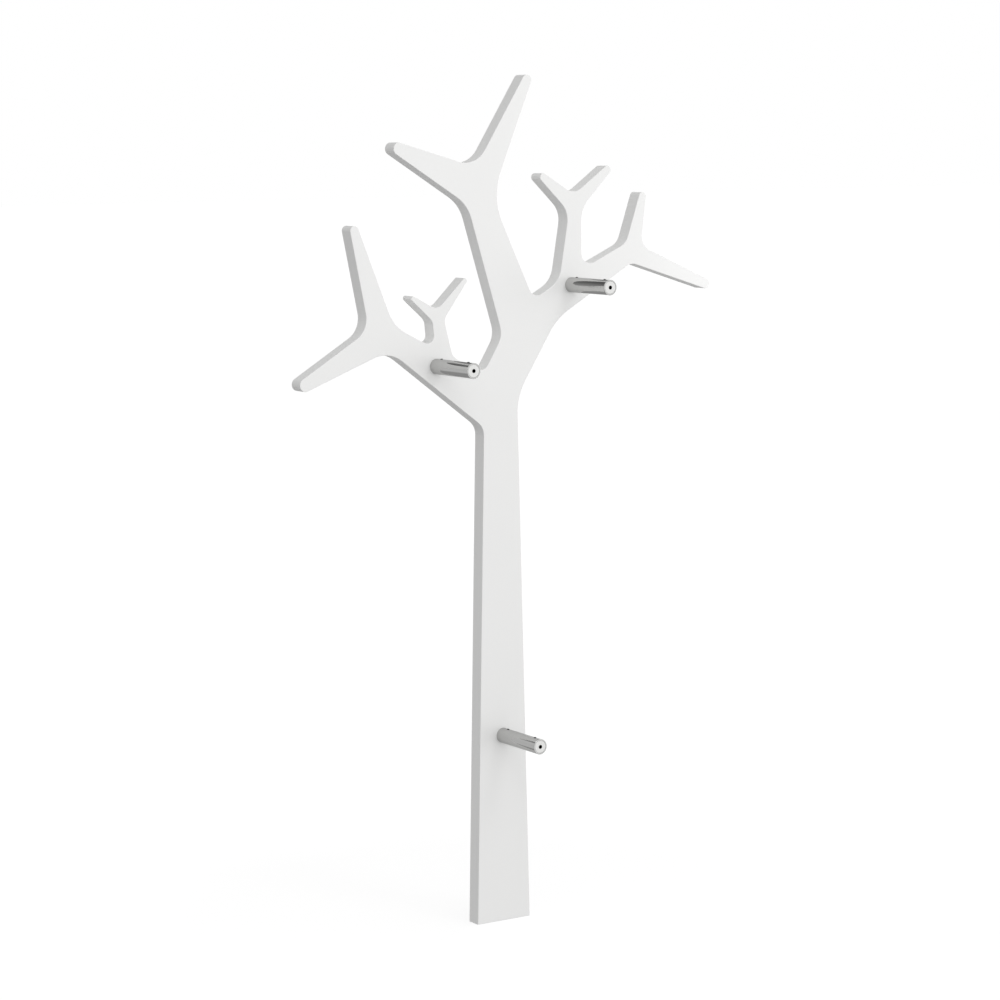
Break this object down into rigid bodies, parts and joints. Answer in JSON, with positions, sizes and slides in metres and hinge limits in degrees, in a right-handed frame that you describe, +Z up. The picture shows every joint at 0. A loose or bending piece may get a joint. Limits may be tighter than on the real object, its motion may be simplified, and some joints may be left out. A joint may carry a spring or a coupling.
{
  "type": "coat rack",
  "caption": "Tree-shaped coat rack cut from one white lacquered board, standing on its trunk and held off the wall by three steel stand-off tubes.",
  "frame": {"origin": "middle of the foot's underside, half-way through the board", "axes": "+Z up the trunk, -Y towards the wall, +Y to the room, +X to the right seen from the wall side"},
  "size_m": [1.107, 0.193, 1.94],
  "materials": {
    "white_lacquer": "satin white lacquer on medium-density fibreboard",
    "polished_tube": "polished stainless steel tube",
    "turned_plug": "turned satin face",
    "zinc_screw": "bright zinc plated",
    "brass_insert": "machined brass",
    "black_grub": "black oxide steel"
  },
  "bodies": {
    "wall_fixings": {"upper_left_wall_plug": "turned_plug", "upper_right_wall_plug": "turned_plug", "lower_wall_plug": "turned_plug"},
    "rack": {"tree_board": "white_lacquer", "upper_left_tube": "polished_tube", "upper_left_board_plug": "turned_plug", "upper_left_plug_screw": "zinc_screw", "upper_left_threaded_insert": "brass_insert", "upper_left_board_grub_screw": "black_grub", "upper_right_tube": "polished_tube", "upper_right_board_plug": "turned_plug", "upper_right_plug_screw": "zinc_screw", "upper_right_threaded_insert": "brass_insert", "upper_right_board_grub_screw": "black_grub", "lower_tube": "polished_tube", "lower_board_plug": "turned_plug", "lower_plug_screw": "zinc_screw", "lower_threaded_insert": "brass_insert", "lower_board_grub_screw": "black_grub"},
    "upper_left_lock": {"upper_left_wall_grub_screw": "black_grub"},
    "upper_right_lock": {"upper_right_wall_grub_screw": "black_grub"},
    "lower_lock": {"lower_wall_grub_screw": "black_grub"}
  },
  "joints": [
    {"name": "rack_off_wall", "type": "slide", "parent": "wall_fixings", "child": "rack", "axis": [0, 1, 0], "range_m": [0, 0.06]},
    {"name": "upper_left_lock_turn", "type": "hinge", "parent": "rack", "child": "upper_left_lock", "pos_m": [-0.17, -0.152, 1.31147], "axis": [0, 0, 1], "range_deg": [0, 360]},
    {"name": "upper_right_lock_turn", "type": "hinge", "parent": "rack", "child": "upper_right_lock", "pos_m": [0.1945, -0.152, 1.48077], "axis": [0, 0, 1], "range_deg": [0, 360]},
    {"name": "lower_lock_turn", "type": "hinge", "parent": "rack", "child": "lower_lock", "pos_m": [0, -0.152, 0.45347], "axis": [0, 0, 1], "range_deg": [0, 360]}
  ]
}
